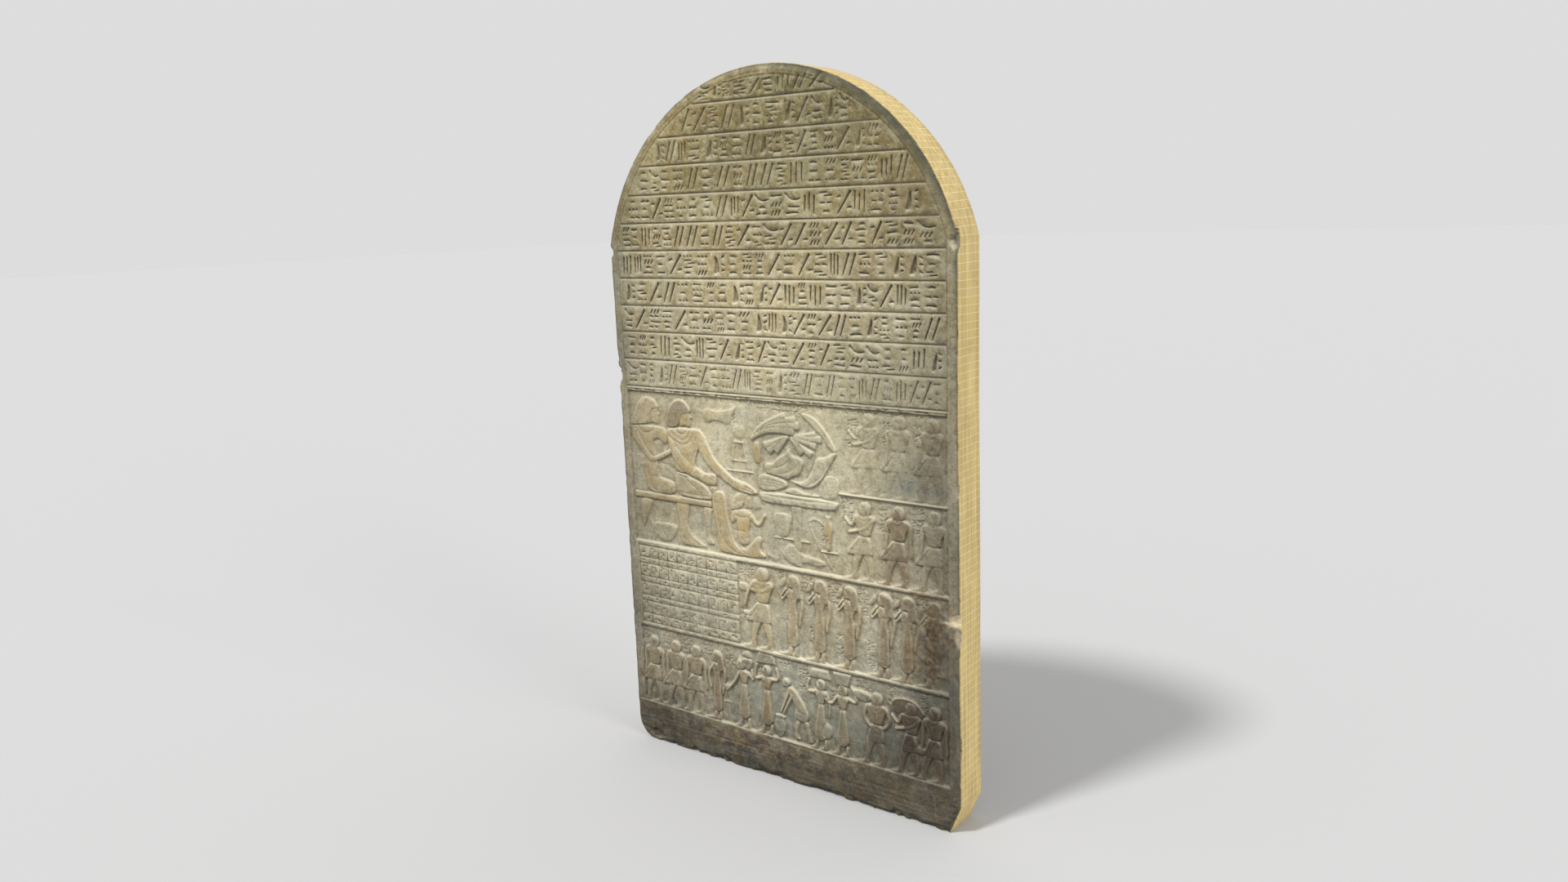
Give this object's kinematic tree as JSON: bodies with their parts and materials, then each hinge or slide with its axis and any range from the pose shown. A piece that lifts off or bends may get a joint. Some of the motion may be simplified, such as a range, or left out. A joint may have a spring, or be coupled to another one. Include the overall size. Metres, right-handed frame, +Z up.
{
  "type": "carved stone stele",
  "caption": "Round-topped upright limestone slab carved on one face with rows of strokes and registers of figures in low relief.",
  "frame": {"origin": "middle of the underside", "axes": "+Z up along the slab's height, +X to the viewer's right along the carved face, +Y from the carved face towards the back"},
  "size_m": [0.688, 0.07, 1.2],
  "materials": {
    "limestone": "matt, weathered"
  },
  "bodies": {
    "root": {"stele_slab": "limestone"}
  },
  "joints": []
}
